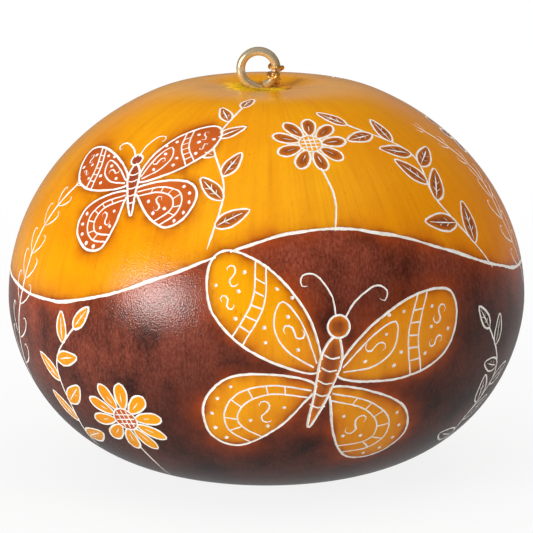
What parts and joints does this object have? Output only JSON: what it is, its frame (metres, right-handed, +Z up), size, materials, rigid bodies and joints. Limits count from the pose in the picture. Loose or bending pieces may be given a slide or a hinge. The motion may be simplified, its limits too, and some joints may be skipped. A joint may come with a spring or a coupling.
{
  "type": "carved gourd ornament",
  "caption": "Hollow dried gourd, carved and dyed as a hanging ornament, with a brass screw eye turned into its stem, a gold thread tie on the eye and loose seeds inside.",
  "frame": {"origin": "on the table under the middle of the gourd's sanded foot", "axes": "+Z up through the gourd's axis, -Y towards the viewer of the picture, +X to the viewer's right along the ring's plane"},
  "size_m": [0.07, 0.07, 0.058],
  "materials": {
    "dyed_rind": "dyed amber above and burnt brown below, engraved, satin varnish",
    "stem_fibre": "raw fibre stained yellow",
    "brass_wire": "bright drawn wire",
    "gold_thread": "twisted, metal wrapped",
    "seed_husk": "dry and matte"
  },
  "bodies": {
    "gourd": {"gourd_shell": "dyed_rind", "stem_core": "stem_fibre", "screw_eye": "brass_wire"},
    "tie": {"thread_tie": "gold_thread"},
    "seed_01_body": {"seed_01": "seed_husk"},
    "seed_02_body": {"seed_02": "seed_husk"},
    "seed_03_body": {"seed_03": "seed_husk"},
    "seed_04_body": {"seed_04": "seed_husk"},
    "seed_05_body": {"seed_05": "seed_husk"},
    "seed_06_body": {"seed_06": "seed_husk"},
    "seed_07_body": {"seed_07": "seed_husk"},
    "seed_08_body": {"seed_08": "seed_husk"},
    "seed_09_body": {"seed_09": "seed_husk"},
    "seed_10_body": {"seed_10": "seed_husk"},
    "seed_11_body": {"seed_11": "seed_husk"}
  },
  "joints": [
    {"name": "tie_slide", "type": "hinge", "parent": "gourd", "child": "tie", "pos_m": [-0.00108, 0, 0.05498], "axis": [0, -1, 0], "range_deg": [0, 198]},
    {"name": "seed_01_hop", "type": "slide", "parent": "gourd", "child": "seed_01_body", "axis": [0, 0, 1], "range_m": [0, 0.037]},
    {"name": "seed_02_hop", "type": "slide", "parent": "gourd", "child": "seed_02_body", "axis": [0, 0, 1], "range_m": [0, 0.037]},
    {"name": "seed_03_hop", "type": "slide", "parent": "gourd", "child": "seed_03_body", "axis": [0, 0, 1], "range_m": [0, 0.037]},
    {"name": "seed_04_hop", "type": "slide", "parent": "gourd", "child": "seed_04_body", "axis": [0, 0, 1], "range_m": [0, 0.037]},
    {"name": "seed_05_hop", "type": "slide", "parent": "gourd", "child": "seed_05_body", "axis": [0, 0, 1], "range_m": [0, 0.037]},
    {"name": "seed_06_hop", "type": "slide", "parent": "gourd", "child": "seed_06_body", "axis": [0, 0, 1], "range_m": [0, 0.037]},
    {"name": "seed_07_hop", "type": "slide", "parent": "gourd", "child": "seed_07_body", "axis": [0, 0, 1], "range_m": [0, 0.037]},
    {"name": "seed_08_hop", "type": "slide", "parent": "gourd", "child": "seed_08_body", "axis": [0, 0, 1], "range_m": [0, 0.037]},
    {"name": "seed_09_hop", "type": "slide", "parent": "gourd", "child": "seed_09_body", "axis": [0, 0, 1], "range_m": [0, 0.037]},
    {"name": "seed_10_hop", "type": "slide", "parent": "gourd", "child": "seed_10_body", "axis": [0, 0, 1], "range_m": [0, 0.037]},
    {"name": "seed_11_hop", "type": "slide", "parent": "gourd", "child": "seed_11_body", "axis": [0, 0, 1], "range_m": [0, 0.037]}
  ]
}
